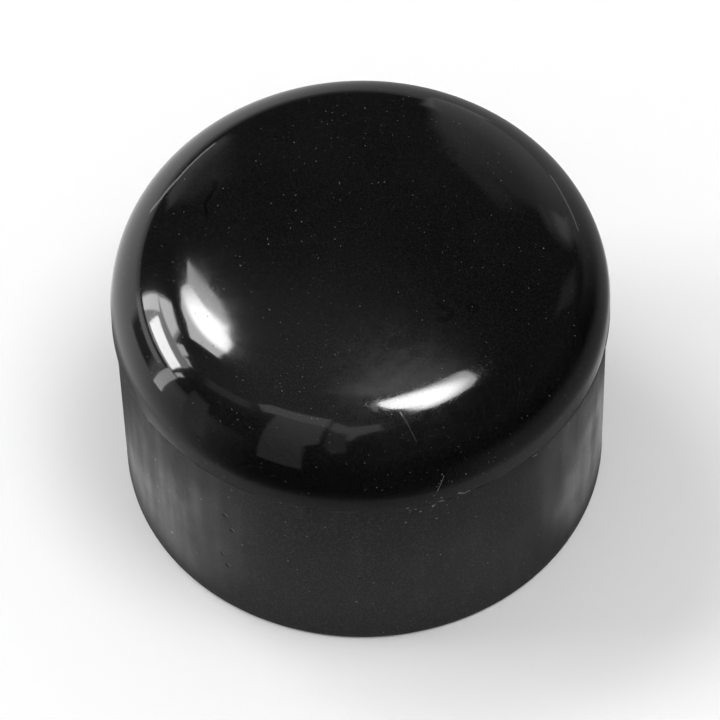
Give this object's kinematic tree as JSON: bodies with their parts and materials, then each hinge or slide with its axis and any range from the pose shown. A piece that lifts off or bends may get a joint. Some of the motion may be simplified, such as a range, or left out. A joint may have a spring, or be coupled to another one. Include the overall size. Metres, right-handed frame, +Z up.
{
  "type": "tube end cap",
  "caption": "Domed push-on cap in black vinyl that closes the open end of a round tube, with a straight bore that grips the tube and a rounded glossy crown.",
  "frame": {"origin": "centre of the mouth rim, in the plane that the cap stands on", "axes": "+Z up the cap's axis, from the open mouth to the crown; the cap is round about Z, so +X and +Y are free"},
  "size_m": [0.0426, 0.0426, 0.0303],
  "materials": {
    "cap_vinyl": "black flexible vinyl, glossy on the dome and satin on the skirt below the parting line"
  },
  "bodies": {
    "root": {"end_cap": "cap_vinyl"}
  },
  "joints": []
}
